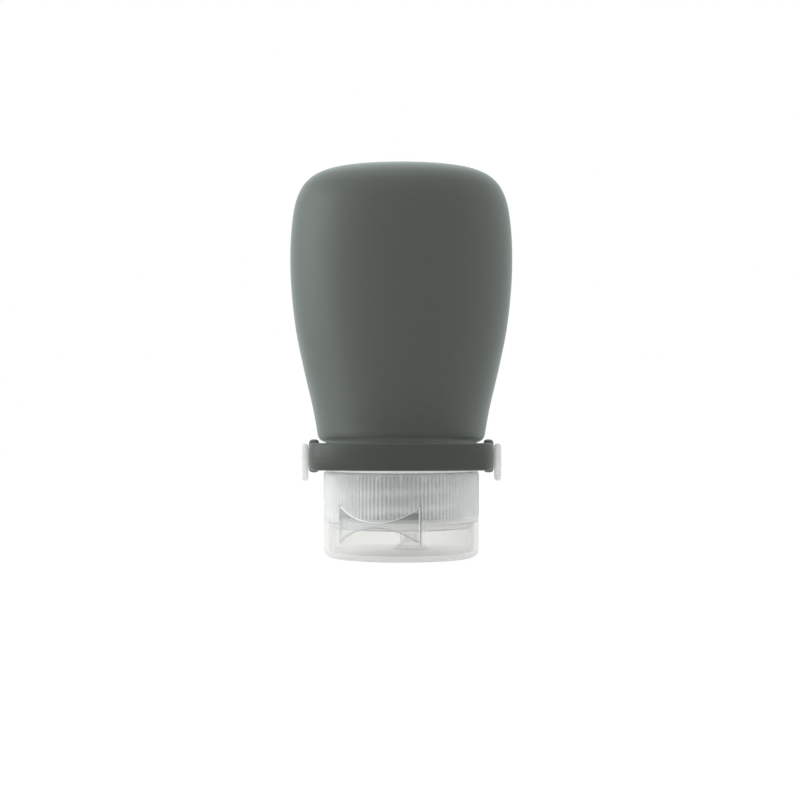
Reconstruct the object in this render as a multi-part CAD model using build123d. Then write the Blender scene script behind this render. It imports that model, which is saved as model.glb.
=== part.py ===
from build123d import *

import math
import os

# Travel squeeze bottle of 60 ml, which stands and is stored upside down on its flip lid.
# Frame: millimetres, origin at the centre of the lid's flat face, +Z up through the bottle.
# The carry strap lies towards -Y and swings about two studs along X.
# The snap hinge of the lid is turned a little towards -X, where the cap stops when it is tight.
# Each function makes one piece in place, and the heights stack up from the lid's flat face.

# Clearances, and the overrun of the cuts
fit_gap = 0.05
running_gap = 0.05
parting_gap = 0.1
overrun = 1.0

# Flip lid
lid_radius = 17.5
lid_height = 8.1
lid_wall = 1.1
lid_floor = 1.3
lid_edge_radius = 1.8
lid_inner_radius = 0.8

# Screw cap: ribbed skirt, threaded sleeve inside it, deck and the spigot that the lid shuts on
skirt_height = 11.2
skirt_wall = 1.3
skirt_edge_radius = 0.55
grip_rib_count = 120
grip_rib_height = 0.25
grip_rib_proud = 0.07
grip_margin_low = 0.6
grip_margin_high = 1.3
sleeve_wall = 1.0
sleeve_setback = 0.5
sleeve_gap_floor = 1.4
gusset_count = 20
gusset_width = 0.5
gusset_height = 1.5
gusset_setback = 0.4
deck_thickness = 1.2
deck_recess = 0.4
spigot_wall = 1.0
spigot_height = 1.45
spigot_clearance = 0.1
thumb_scoop_radius = 4.6
thumb_scoop_drop = 2.1
thumb_scoop_depth = 0.8

# Snap hinge: a thin bow-tie web let into the walls of the cap and the lid
hinge_turn_deg = 18.5
hinge_half_width = 9.2
hinge_waist_half_height = 0.67
hinge_end_half_height = 4.05
hinge_web_thickness = 0.6
hinge_web_recess = 0.3
hinge_slit = 0.35

# Spout, slit valve and the lid's plug
spout_offset = 7.0
spout_radius = 2.5
spout_bore_radius = 1.6
spout_tip_height = 2.9
spout_tip_radius = 0.4
valve_radius = 2.3
valve_thickness = 0.8
valve_seat_wall = 0.7
valve_seat_height = 1.1
valve_slit_length = 2.6
valve_slit_width = 0.12
plug_radius = 1.2
plug_engagement = 1.7
plug_tip_chamfer = 0.3
plug_foot_radius = 4.6
plug_foot_gap = 0.2

# Gasket
gasket_thickness = 0.7
gasket_width = 3.7
gasket_clearance = 0.1

# Neck of the bottle, and the threaded ring and collar round it
neck_radius = 12.7
neck_wall = 1.7
lip_thickness = 0.9
lip_overhang = 1.2
ring_wall = 0.8
thread_depth = 0.55
thread_clearance = 0.15
collar_gap = 0.25
collar_height = 6.2
collar_waist_radius = 15.2
collar_flange_radius = 17.2
collar_flange_thickness = 0.8
boss_radius = 2.6
boss_reach = 18.4

# Strap studs
stud_radius = 1.3
stud_grip = 2.7
stud_tip_chamfer = 0.3
stud_plate_height = 8.4
stud_plate_width = 5.0
stud_plate_thickness = 1.5
stud_plate_drop = 1.4
stud_plate_edge_radius = 0.6

# Carry strap
ear_radius = 3.75
ear_thickness = 2.25
ear_edge_radius = 1.0
ear_inner_edge_radius = 0.5
ear_side_gap = 0.2
strap_width = 5.9
strap_thickness = 1.3
strap_crown = 0.5
strap_edge_radius = 0.4
strap_reach = 29.2
strap_front_radius = 26.6
strap_corner_radius = 5.6
strap_tilt_deg = 1.3

# Squeeze body
body_width = 50.2
body_depth = 36.8
body_height = 63.0
body_wall = 1.9
shoulder_edge_radius = 1.6
# Each row: share of the body's height, share of its width, share of its depth
body_section_shares = (
    (0.000, 0.741, 0.962),
    (0.115, 0.792, 0.968),
    (0.257, 0.875, 0.981),
    (0.402, 0.949, 0.994),
    (0.544, 0.989, 1.000),
    (0.659, 1.000, 1.000),
    (0.762, 0.989, 0.990),
    (0.849, 0.958, 0.957),
    (0.905, 0.905, 0.893),
    (0.944, 0.825, 0.796),
    (0.971, 0.709, 0.661),
    (0.989, 0.540, 0.485),
    (0.998, 0.340, 0.295),
    (1.000, 0.180, 0.150),
)

# Heights that follow, from the lid's face upwards
cap_bottom = lid_height + parting_gap
cap_top = cap_bottom + skirt_height
spigot_bottom = cap_bottom - spigot_height
deck_bottom = spigot_bottom + deck_recess
deck_top = deck_bottom + deck_thickness
gasket_bottom = deck_top + running_gap
mouth_height = gasket_bottom + gasket_thickness + running_gap
lip_top = mouth_height + lip_thickness
collar_bottom = cap_top + collar_gap
collar_top = collar_bottom + collar_height
shoulder_height = collar_top + fit_gap
pivot_height = collar_bottom + collar_height / 2

# Radii and distances along X that follow
skirt_radius = lid_radius
skirt_inner_radius = skirt_radius - skirt_wall
grip_crest_radius = skirt_radius + grip_rib_proud
grip_groove_radius = grip_crest_radius - grip_rib_height
spigot_radius = lid_radius - lid_wall - spigot_clearance
neck_bore_radius = neck_radius - neck_wall
thread_root_radius = neck_radius + fit_gap + ring_wall
thread_crest_radius = thread_root_radius + thread_depth
sleeve_inner_radius = thread_crest_radius + thread_clearance
sleeve_outer_radius = sleeve_inner_radius + sleeve_wall
window_inner_radius = (skirt_inner_radius + sleeve_outer_radius) / 2
gasket_radius = sleeve_inner_radius - gasket_clearance
plug_foot_top = spout_tip_height - plug_foot_gap
ear_inner_face = boss_reach + ear_side_gap
ear_outer_face = ear_inner_face + ear_thickness
stud_plate_face = ear_outer_face + ear_side_gap


def ring(outer_radius, inner_radius, bottom, top):
    """Plain ring round the Z axis."""
    outline = Circle(outer_radius) - Circle(inner_radius)
    return Pos(0, 0, bottom) * extrude(outline, top - bottom)


def disc(radius, bottom, top):
    """Plain disc round the Z axis."""
    return Pos(0, 0, bottom) * extrude(Circle(radius), top - bottom)


def revolved(points):
    """Solid of revolution round the Z axis from straight (radius, height) runs."""
    return revolve(Plane.XZ * make_face(Polyline(*points, close=True)), Axis.Z)


def edges_at(shape, height, radius):
    """Circular edges round the Z axis at one height and radius."""
    level = shape.edges().filter_by(GeomType.CIRCLE).filter_by_position(Axis.Z, height, height)
    return level.filter_by(lambda edge: abs(edge.radius - radius) < fit_gap)


def turned_to_hinge(shape):
    """Pieces of the cap are drawn with the hinge towards -Y, then turned to where it stops."""
    return Rot(0, 0, -hinge_turn_deg) * shape


# Squeeze body


def body_form(inset):
    """Lofted form of the body, with its faces moved inwards by the inset."""
    sections = []
    for height_share, width_share, depth_share in body_section_shares:
        height = shoulder_height + inset + height_share * (body_height - 2 * inset)
        half_width = width_share * body_width / 2 - inset
        half_depth = depth_share * body_depth / 2 - inset
        sections.append(Pos(0, 0, height) * Ellipse(half_width, half_depth))
    return loft(sections)


def squeeze_body():
    """Soft body with its neck, and the lip that hooks over the end of the threaded ring."""
    outer = body_form(0)
    rim = outer.edges().filter_by_position(Axis.Z, shoulder_height, shoulder_height)
    outer = fillet(rim, shoulder_edge_radius)
    neck = disc(neck_radius, mouth_height, shoulder_height + body_wall)
    lip = disc(neck_radius + lip_overhang, mouth_height, lip_top)
    bore = disc(neck_bore_radius, mouth_height - overrun, shoulder_height + body_wall + overrun)
    return outer - body_form(body_wall) + neck + lip - bore


# Threaded ring with the collar that carries the strap


def neck_ring():
    """Hard ring that the soft neck hooks into, with a collar and two bosses for the studs."""
    bore_radius = neck_radius + fit_gap
    flange_bottom = collar_top - collar_flange_thickness
    shape = ring(thread_root_radius, bore_radius, lip_top + fit_gap, collar_bottom + overrun)
    shape += ring(collar_waist_radius, bore_radius, collar_bottom, collar_top)
    shape += ring(collar_flange_radius, bore_radius, flange_bottom, collar_top)
    boss_root = collar_waist_radius - overrun
    bore_end = boss_reach - stud_grip - fit_gap
    for side in (-1, 1):
        boss_plane = Plane((0, 0, pivot_height), z_dir=(side, 0, 0))
        boss = extrude(boss_plane.offset(boss_root) * Circle(boss_radius), boss_reach - boss_root)
        hole_outline = boss_plane.offset(bore_end) * Circle(stud_radius + fit_gap)
        shape = shape + boss - extrude(hole_outline, stud_grip + overrun)
    return shape


def strap_stud(side):
    """Oblong plate outside one ear of the strap, with the pin that goes through the ear."""
    plate_plane = Plane((0, 0, pivot_height - stud_plate_drop), x_dir=(0, 0, 1), z_dir=(side, 0, 0))
    plate_outline = plate_plane.offset(stud_plate_face) * SlotOverall(stud_plate_height, stud_plate_width)
    plate = extrude(plate_outline, stud_plate_thickness)
    outer_face = plate.faces().sort_by(Axis.X)[-1 if side > 0 else 0]
    plate = fillet(outer_face.edges(), stud_plate_edge_radius)
    tip = boss_reach - stud_grip
    pin_plane = Plane((0, 0, pivot_height), z_dir=(side, 0, 0)).offset(tip)
    pin = extrude(pin_plane * Circle(stud_radius), stud_plate_face + stud_plate_thickness / 2 - tip)
    tip_edges = pin.edges().filter_by_position(Axis.X, side * tip, side * tip)
    return plate + chamfer(tip_edges, stud_tip_chamfer)


# Carry strap


def strap_path():
    """Inner face of the strap seen from above: two legs, two corners and an arched front."""
    arch_centre = Vector(0, strap_front_radius - strap_reach)
    corner_x = ear_inner_face - strap_corner_radius
    corner_drop = math.sqrt((strap_front_radius - strap_corner_radius) ** 2 - corner_x**2)
    corner_y = arch_centre.Y - corner_drop
    corner_angle = math.degrees(math.atan2(corner_drop, corner_x))
    left_start, right_start = 180 + corner_angle, 0
    legs = [
        Line((-ear_inner_face, 0), (-ear_inner_face, corner_y)),
        Line((ear_inner_face, corner_y), (ear_inner_face, 0)),
    ]
    left_corner = CenterArc((-corner_x, corner_y), strap_corner_radius, 180, corner_angle)
    right_corner = CenterArc((corner_x, corner_y), strap_corner_radius, right_start, -corner_angle)
    front_sweep = 2 * (90 - corner_angle)
    front = CenterArc(arch_centre, strap_front_radius, left_start, front_sweep)
    return Wire([legs[0].edge(), left_corner.edge(), front.edge(), right_corner.edge(), legs[1].edge()])


def strap_section():
    """Cross-section of the band at its left end, flat inside and crowned outside."""
    half_width = strap_width / 2
    inner = -ear_inner_face
    outer = inner - strap_thickness
    crown = (outer - strap_crown, 0)
    outline = [
        Line((outer, -half_width), (inner, -half_width)),
        Line((inner, -half_width), (inner, half_width)),
        Line((inner, half_width), (outer, half_width)),
        ThreePointArc((outer, half_width), crown, (outer, -half_width)),
    ]
    face = make_face(Curve() + outline)
    return Plane.XZ * fillet(face.vertices(), strap_edge_radius)


def strap_ear(side):
    """Round ear at one end of the strap."""
    inner_face = Plane((0, 0, 0), z_dir=(side, 0, 0)).offset(ear_inner_face)
    ear = extrude(inner_face * Circle(ear_radius), ear_thickness)
    for face_x, radius in ((ear_outer_face, ear_edge_radius), (ear_inner_face, ear_inner_edge_radius)):
        ear = fillet(ear.edges().filter_by_position(Axis.X, side * face_x, side * face_x), radius)
    return ear


def carry_strap():
    """Soft carry loop, lifted a little at its front, that swings about the studs."""
    shape = sweep(strap_section(), path=strap_path())
    for side in (-1, 1):
        shape += strap_ear(side)
    hole = extrude(Plane.YZ * Circle(stud_radius + running_gap), ear_outer_face + overrun, both=True)
    return Pos(0, 0, pivot_height) * Rot(-strap_tilt_deg, 0, 0) * (shape - hole)


# Snap hinge


def hinge_outline(arc_growth, side_growth):
    """Bow tie on the XZ plane, grown at its two arcs and at its two straight sides."""
    rise = hinge_end_half_height - hinge_waist_half_height
    arc_radius = (hinge_half_width**2 + rise**2) / (2 * rise)
    arc_centre = hinge_waist_half_height + arc_radius
    half_width = hinge_half_width + side_growth
    waist = arc_centre - (arc_radius - arc_growth)
    end = arc_centre - math.sqrt((arc_radius - arc_growth) ** 2 - half_width**2)
    centre = cap_bottom - parting_gap / 2
    corners = [(-half_width, centre + end), (half_width, centre + end)]
    feet = [(half_width, centre - end), (-half_width, centre - end)]
    outline = [
        ThreePointArc(corners[0], (0, centre + waist), corners[1]),
        Line(corners[1], feet[0]),
        ThreePointArc(feet[0], (0, centre - waist), feet[1]),
        Line(feet[1], corners[0]),
    ]
    return Plane.XZ * make_face(Curve() + outline)


def hinge_window():
    """Bow-tie opening through the walls of the cap and the lid, with its slits at the sides."""
    prism = extrude(hinge_outline(fit_gap, hinge_slit), skirt_radius + overrun)
    return prism & ring(skirt_radius + overrun, window_inner_radius, 0, cap_top)


def snap_hinge():
    """Thin curved bow-tie web that joins the cap and the lid and snaps over as the lid opens."""
    outer_radius = skirt_radius - hinge_web_recess
    prism = extrude(hinge_outline(0, 0), skirt_radius + overrun)
    web = prism & ring(outer_radius, outer_radius - hinge_web_thickness, 0, cap_top)
    return turned_to_hinge(web)


# Screw cap


def grip_ribs():
    """Fine upright ribs round the skirt, as one star-shaped ring."""
    root = grip_groove_radius - fit_gap
    half_pitch = math.pi / grip_rib_count
    points = []
    for step in range(2 * grip_rib_count):
        radius = grip_crest_radius if step % 2 == 0 else root
        points.append((radius * math.cos(step * half_pitch), radius * math.sin(step * half_pitch)))
    outline = make_face(Polyline(*points, close=True)) - Circle(skirt_inner_radius)
    bottom = cap_bottom + grip_margin_low
    return Pos(0, 0, bottom) * extrude(outline, cap_top - grip_margin_high - bottom)


def gussets():
    """Small webs that hold the threaded sleeve to the skirt."""
    length = (skirt_inner_radius - sleeve_outer_radius) + 2 * fit_gap
    middle = cap_top - sleeve_setback - gusset_setback - gusset_height / 2
    web = Pos((skirt_inner_radius + sleeve_outer_radius) / 2, 0, middle)
    return [
        Rot(0, 0, 360 * step / gusset_count) * web * Box(length, gusset_width, gusset_height)
        for step in range(gusset_count)
    ]


def screw_cap():
    """Cap with a double skirt, a deck, a spigot for the lid, and a spout away from the hinge."""
    shape = revolved(
        [
            (0, deck_top),
            (sleeve_inner_radius, deck_top),
            (sleeve_inner_radius, cap_top - sleeve_setback),
            (sleeve_outer_radius, cap_top - sleeve_setback),
            (sleeve_outer_radius, cap_bottom + sleeve_gap_floor),
            (skirt_inner_radius, cap_bottom + sleeve_gap_floor),
            (skirt_inner_radius, cap_top),
            (skirt_radius, cap_top),
            (skirt_radius, cap_top - grip_margin_high),
            (grip_groove_radius, cap_top - grip_margin_high),
            (grip_groove_radius, cap_bottom + grip_margin_low),
            (skirt_radius, cap_bottom + grip_margin_low),
            (skirt_radius, cap_bottom),
            (spigot_radius, cap_bottom),
            (spigot_radius, spigot_bottom),
            (spigot_radius - spigot_wall, spigot_bottom),
            (spigot_radius - spigot_wall, deck_bottom),
            (0, deck_bottom),
        ]
    )
    shape = fillet(edges_at(shape, cap_top, skirt_radius), skirt_edge_radius)
    shape += grip_ribs()
    shape += gussets()
    shape -= thumb_scoop() & disc(skirt_radius + overrun, cap_bottom, cap_top)
    shape -= hinge_window() & disc(skirt_radius + overrun, cap_bottom, cap_top)
    return turned_to_hinge(shape + spout() - spout_bore())


def thumb_scoop():
    """Shallow hollow opposite the hinge, where a thumb gets under the lid's rim."""
    middle = Plane((0, 0, cap_bottom - thumb_scoop_drop), z_dir=(0, 1, 0))
    floor_of_scoop = middle.offset(skirt_radius - thumb_scoop_depth)
    return extrude(floor_of_scoop * Circle(thumb_scoop_radius), thumb_scoop_depth + overrun)


def spout():
    """Spout under the deck, and above it the round seat of the valve."""
    nozzle = disc(spout_radius, spout_tip_height, deck_bottom + fit_gap)
    nozzle = fillet(edges_at(nozzle, spout_tip_height, spout_radius), spout_tip_radius)
    seat_bore = valve_radius + fit_gap
    seat = ring(seat_bore + valve_seat_wall, seat_bore, deck_top - fit_gap, deck_top + valve_seat_height)
    return Pos(0, spout_offset, 0) * (nozzle + seat)


def spout_bore():
    """Way out through the deck and the spout."""
    return Pos(0, spout_offset, 0) * disc(spout_bore_radius, spout_tip_height - overrun, deck_top + overrun)


def flow_valve():
    """Soft disc with two crossed slits, pressed into its seat over the spout."""
    shape = disc(valve_radius, deck_top, deck_top + valve_thickness)
    for angle in (0, 90):
        slit = extrude(Rot(0, 0, angle) * Rectangle(valve_slit_length, valve_slit_width), cap_top)
        shape -= slit
    return turned_to_hinge(Pos(0, spout_offset, 0) * shape)


def mouth_gasket():
    """Flat sealing ring between the deck and the lip of the neck."""
    inner_radius = gasket_radius - gasket_width
    return ring(gasket_radius, inner_radius, gasket_bottom, gasket_bottom + gasket_thickness)


# Flip lid


def flip_lid():
    """Lid that the bottle stands on, with the plug that shuts the spout."""
    shape = disc(lid_radius, 0, lid_height)
    shape = fillet(edges_at(shape, 0, lid_radius), lid_edge_radius)
    hollow = disc(lid_radius - lid_wall, lid_floor, lid_height + overrun)
    hollow = fillet(edges_at(hollow, lid_floor, lid_radius - lid_wall), lid_inner_radius)
    shape -= hollow
    shape -= hinge_window() & disc(skirt_radius + overrun, 0, lid_height)
    return turned_to_hinge(shape + lid_plug())


def lid_plug():
    """Pin on a flared foot, which reaches into the spout."""
    flare_drop = plug_foot_top - lid_floor
    tip = spout_tip_height + plug_engagement
    flare_mid = (spout_radius + (plug_foot_radius - spout_radius) / 4, lid_floor + flare_drop / 3)
    outline = [
        Line((0, lid_floor - fit_gap), (plug_foot_radius, lid_floor - fit_gap)),
        Line((plug_foot_radius, lid_floor - fit_gap), (plug_foot_radius, lid_floor)),
        ThreePointArc((plug_foot_radius, lid_floor), flare_mid, (spout_radius, plug_foot_top)),
        Line((spout_radius, plug_foot_top), (plug_radius, plug_foot_top)),
        Line((plug_radius, plug_foot_top), (plug_radius, tip - plug_tip_chamfer)),
        Line((plug_radius, tip - plug_tip_chamfer), (plug_radius - plug_tip_chamfer, tip)),
        Line((plug_radius - plug_tip_chamfer, tip), (0, tip)),
        Line((0, tip), (0, lid_floor - fit_gap)),
    ]
    return Pos(0, spout_offset, 0) * revolve(Plane.XZ * make_face(Curve() + outline), Axis.Z)


pieces = {
    "squeeze_body": squeeze_body(),
    "neck_ring": neck_ring(),
    "strap_stud_left": strap_stud(-1),
    "strap_stud_right": strap_stud(1),
    "carry_strap": carry_strap(),
    "screw_cap": screw_cap(),
    "snap_hinge": snap_hinge(),
    "mouth_gasket": mouth_gasket(),
    "flow_valve": flow_valve(),
    "flip_lid": flip_lid(),
}

os.makedirs("parts", exist_ok=True)
for node, shape in pieces.items():
    export_step(shape, f"parts/{node}.step")
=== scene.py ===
import math

import bpy
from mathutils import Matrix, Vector


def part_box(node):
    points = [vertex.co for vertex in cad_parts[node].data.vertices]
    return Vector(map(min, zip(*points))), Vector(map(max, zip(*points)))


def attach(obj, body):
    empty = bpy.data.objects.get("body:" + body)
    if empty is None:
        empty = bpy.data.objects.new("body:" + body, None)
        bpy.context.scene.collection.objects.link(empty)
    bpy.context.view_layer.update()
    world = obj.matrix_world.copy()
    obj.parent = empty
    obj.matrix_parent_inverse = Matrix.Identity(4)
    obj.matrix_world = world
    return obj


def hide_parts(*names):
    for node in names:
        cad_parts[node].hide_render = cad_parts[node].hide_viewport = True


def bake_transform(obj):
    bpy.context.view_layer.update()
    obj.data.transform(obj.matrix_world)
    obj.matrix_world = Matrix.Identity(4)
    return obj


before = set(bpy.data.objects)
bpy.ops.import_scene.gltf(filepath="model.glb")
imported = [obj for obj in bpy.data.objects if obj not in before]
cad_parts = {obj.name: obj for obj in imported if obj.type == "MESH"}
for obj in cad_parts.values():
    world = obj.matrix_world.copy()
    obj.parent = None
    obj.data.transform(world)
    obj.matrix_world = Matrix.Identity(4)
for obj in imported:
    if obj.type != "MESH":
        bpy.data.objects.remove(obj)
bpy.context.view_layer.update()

# Travel squeeze bottle, upside down on its flip lid. Sizes are in millimetres, turned to metres by mm.
mm = 0.001

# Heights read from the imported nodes, and sizes that more than one piece needs
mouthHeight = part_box("squeeze_body")[0].z / mm
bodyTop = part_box("squeeze_body")[1].z / mm
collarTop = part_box("neck_ring")[1].z / mm
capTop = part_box("screw_cap")[1].z / mm
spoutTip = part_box("screw_cap")[0].z / mm
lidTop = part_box("flip_lid")[1].z / mm
partingGap = 0.1
partingHeight = lidTop + partingGap / 2
lidRadius = 17.5
ribCount = 120
hingeTurn = math.radians(18.5)
spoutPlace = (2.221, 6.638)


# Working habits: each helper leaves edit mode with only its own piece selected


def clearSelection():
    if bpy.context.mode != "OBJECT":
        bpy.ops.object.mode_set(mode="OBJECT")
    bpy.ops.object.select_all(action="DESELECT")


def pick(piece):
    clearSelection()
    piece.select_set(True)
    bpy.context.view_layer.objects.active = piece


def editAll(piece):
    pick(piece)
    bpy.ops.object.mode_set(mode="EDIT")
    bpy.ops.mesh.select_all(action="SELECT")


def selectPoints(piece, wanted):
    # selects the points of an edited mesh whose place passes the test, in mm
    bpy.ops.mesh.select_all(action="DESELECT")
    bpy.ops.mesh.select_mode(type="VERT")
    bpy.ops.object.mode_set(mode="OBJECT")
    for point in piece.data.vertices:
        point.select = wanted(point.co / mm)
    bpy.ops.object.mode_set(mode="EDIT")


def mergeTouching():
    # merges the points of an edited mesh that touch, and leaves all of it selected
    bpy.ops.mesh.select_all(action="SELECT")
    bpy.ops.mesh.remove_doubles(threshold=mm / 1000)
    bpy.ops.mesh.select_all(action="SELECT")


def faceOutward():
    bpy.ops.mesh.select_all(action="SELECT")
    bpy.ops.mesh.normals_make_consistent(inside=False)


def closeEnds():
    # fills the selected openings of an edited mesh and turns its faces outward
    bpy.ops.mesh.fill_holes(sides=0)
    faceOutward()


def fromAxis(place):
    return math.hypot(place.x, place.y)


def applyAll(piece):
    pick(piece)
    for modifier in list(piece.modifiers):
        bpy.ops.object.modifier_apply(modifier=modifier.name)


def settle(piece):
    # the finished piece sits at the origin, with its place in its mesh
    pick(piece)
    bpy.ops.object.transform_apply(location=True, rotation=True, scale=True)


def cut(piece, tool, how="DIFFERENCE"):
    modifier = piece.modifiers.new("cut", "BOOLEAN")
    modifier.operation = how
    modifier.solver = "EXACT"
    modifier.object = tool
    applyAll(piece)
    bpy.data.objects.remove(tool, do_unlink=True)


def softEdges(piece, width, segments=3, angle=40):
    modifier = piece.modifiers.new("softEdges", "BEVEL")
    modifier.width = width * mm
    modifier.segments = segments
    modifier.limit_method = "ANGLE"
    modifier.angle_limit = math.radians(angle)
    modifier.harden_normals = False
    applyAll(piece)


def rounded(corners, arcSteps):
    # corners are (across, up, roundness); a roundness above 0 becomes an arc of short runs
    points = []
    for index, (across, up, roundness) in enumerate(corners):
        here = Vector((across, 0, up))
        if roundness == 0:
            points.append(here)
            continue
        before, after = corners[index - 1], corners[(index + 1) % len(corners)]
        toBefore = (Vector((before[0], 0, before[1])) - here).normalized()
        toAfter = (Vector((after[0], 0, after[1])) - here).normalized()
        half = toBefore.angle(toAfter) / 2
        centre = here + (toBefore + toAfter).normalized() * (roundness / math.sin(half))
        first = here + toBefore * (roundness / math.tan(half)) - centre
        last = here + toAfter * (roundness / math.tan(half)) - centre
        for step in range(arcSteps + 1):
            points.append(centre + first.slerp(last, step / arcSteps).normalized() * roundness)
    return points


def drawOutline(name, points, closed=True):
    # a plane merged to one point, then extruded from point to point
    clearSelection()
    bpy.ops.mesh.primitive_plane_add(size=mm)
    piece = bpy.context.object
    piece.name = piece.data.name = name
    editAll(piece)
    bpy.ops.mesh.merge(type="CENTER")
    bpy.ops.transform.translate(value=points[0] * mm)
    following = points[1:] + points[:1] if closed else points[1:]
    for near, far in zip(points, following):
        bpy.ops.mesh.extrude_vertices_move(TRANSFORM_OT_translate={"value": (far - near) * mm})
    mergeTouching()
    return piece


def turned(name, corners, columns, arcSteps=5, place=(0, 0)):
    # an outline spun once round Z; an outline that starts and ends on the axis stays open
    closed = not (corners[0][0] == 0 and corners[-1][0] == 0)
    piece = drawOutline(name, rounded(corners, arcSteps), closed)
    bpy.ops.mesh.spin(steps=columns, angle=math.tau, center=(0, 0, 0), axis=(0, 0, 1))
    mergeTouching()
    bpy.ops.mesh.normals_make_consistent(inside=False)
    bpy.ops.transform.translate(value=(place[0] * mm, place[1] * mm, 0))
    pick(piece)
    return piece


def bar(name, radius, middle, length, direction, sides=64):
    # round bar along X, Y or Z
    clearSelection()
    turns = {"X": (0, math.pi / 2, 0), "Y": (math.pi / 2, 0, 0), "Z": (0, 0, 0)}
    bpy.ops.mesh.primitive_cylinder_add(
        vertices=sides, radius=radius * mm, depth=length * mm,
        location=Vector(middle) * mm, rotation=turns[direction],
    )
    piece = bpy.context.object
    piece.name = piece.data.name = name
    settle(piece)
    return piece


def block(name, low, high):
    clearSelection()
    low, high = Vector(low), Vector(high)
    bpy.ops.mesh.primitive_cube_add(size=1, location=(low + high) / 2 * mm, scale=(high - low) * mm)
    piece = bpy.context.object
    piece.name = piece.data.name = name
    settle(piece)
    return piece


def turnClockwise(piece, angle):
    editAll(piece)
    bpy.ops.transform.rotate(value=angle, orient_axis="Z", center_override=(0, 0, 0))
    pick(piece)


def smooth(piece, angle=35):
    pick(piece)
    bpy.ops.object.shade_smooth_by_angle(angle=math.radians(angle))


# Camera and light


studio = {
    "cameraPlace": (-0.29, -407.0, 35.4),
    "lens": 80.95,
    "clipStart": 10.0,
    "worldLight": 0.95,
    "lampTone": (0.97, 1.0, 0.985),
    "floorSize": 1600.0,
    "floorDrop": 0.02,
    "paperTone": 0.86,
    "paperGlow": 0.9,
    "paperShade": 0.14,
    "clearBounces": 40,
}


def placeCamera():
    clearSelection()
    bpy.ops.object.camera_add(
        location=Vector(studio["cameraPlace"]) * mm, rotation=(math.pi / 2, 0, 0)
    )
    camera = bpy.context.object
    camera.name = "photoCamera"
    camera.data.lens = studio["lens"]
    camera.data.clip_start = studio["clipStart"] * mm
    bpy.context.scene.camera = camera


def softbox(name, place, aim, size, power):
    clearSelection()
    place, aim = Vector(place) * mm, Vector(aim) * mm
    bpy.ops.object.light_add(type="AREA", location=place)
    lamp = bpy.context.object
    lamp.name = name
    lamp.rotation_euler = (aim - place).to_track_quat("-Z", "Y").to_euler()
    lamp.data.shape = "RECTANGLE"
    lamp.data.size, lamp.data.size_y = size[0] * mm, size[1] * mm
    lamp.data.energy = power
    lamp.data.color = studio["lampTone"]


def reckon(nodes, links, operation, first, second=None, clamp=False):
    # one sum of a socket, alone or with a second socket or a number
    node = nodes.new("ShaderNodeMath")
    node.operation = operation
    node.use_clamp = clamp
    links.new(first, node.inputs[0])
    if isinstance(second, (int, float)):
        node.inputs[1].default_value = second
    elif second:
        links.new(second, node.inputs[1])
    return node.outputs[0]


def whiteToTheCamera(nodes, links, lit):
    # camera, glossy and transmission rays see plain white; other rays see the lit shader
    path = nodes.new("ShaderNodeLightPath").outputs
    seen = reckon(nodes, links, "MAXIMUM", path["Is Camera Ray"], path["Is Glossy Ray"])
    seen = reckon(nodes, links, "MAXIMUM", seen, path["Is Transmission Ray"])
    mix = nodes.new("ShaderNodeMixShader")
    links.new(seen, mix.inputs["Fac"])
    links.new(lit.outputs[0], mix.inputs[1])
    return mix


def lightTheWorld():
    world = bpy.data.worlds.new("studioWorld")
    bpy.context.scene.world = world
    world.use_nodes = True
    nodes, links = world.node_tree.nodes, world.node_tree.links
    nodes.clear()
    lit = nodes.new("ShaderNodeBackground")
    lit.inputs["Color"].default_value = (1.0, 1.0, 1.0, 1.0)
    lit.inputs["Strength"].default_value = studio["worldLight"]
    seen = nodes.new("ShaderNodeBackground")
    seen.inputs["Color"].default_value = (1.0, 1.0, 1.0, 1.0)
    seen.inputs["Strength"].default_value = 1.0
    mix = whiteToTheCamera(nodes, links, lit)
    links.new(seen.outputs[0], mix.inputs[2])
    output = nodes.new("ShaderNodeOutputWorld")
    links.new(mix.outputs[0], output.inputs["Surface"])


def layFloor():
    # diffuse paper for the light, and near-white paper that keeps its shadow for the camera
    clearSelection()
    bpy.ops.mesh.primitive_plane_add(
        size=studio["floorSize"] * mm, location=(0, 0, -studio["floorDrop"] * mm)
    )
    floor = bpy.context.object
    floor.name = "studioFloor"
    material = bpy.data.materials.new("floorPaper")
    material.use_nodes = True
    nodes, links = material.node_tree.nodes, material.node_tree.links
    nodes.clear()
    paper = nodes.new("ShaderNodeBsdfDiffuse")
    paper.inputs["Color"].default_value = (studio["paperTone"],) * 3 + (1.0,)
    glow = nodes.new("ShaderNodeEmission")
    glow.inputs["Strength"].default_value = studio["paperGlow"]
    shaded = nodes.new("ShaderNodeBsdfDiffuse")
    shaded.inputs["Color"].default_value = (studio["paperShade"],) * 3 + (1.0,)
    seen = nodes.new("ShaderNodeAddShader")
    links.new(glow.outputs[0], seen.inputs[0])
    links.new(shaded.outputs[0], seen.inputs[1])
    mix = whiteToTheCamera(nodes, links, paper)
    links.new(seen.outputs[0], mix.inputs[2])
    output = nodes.new("ShaderNodeOutputMaterial")
    links.new(mix.outputs[0], output.inputs["Surface"])
    floor.data.materials.append(material)


bpy.context.scene.view_settings.view_transform = "Standard"
bpy.context.scene.cycles.transparent_max_bounces = studio["clearBounces"]
placeCamera()
lightTheWorld()
layFloor()
# name, place, aim, size and power of each softbox
softbox("keySoftbox", (-425, -50, 130), (0, 0, 45), (280, 420), 1.25)
softbox("fillSoftbox", (430, 30, 110), (0, 0, 45), (240, 380), 0.18)
softbox("topSoftbox", (-60, 60, 430), (0, 0, 60), (300, 240), 0.15)
print("camera and light ready")


# Materials


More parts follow.
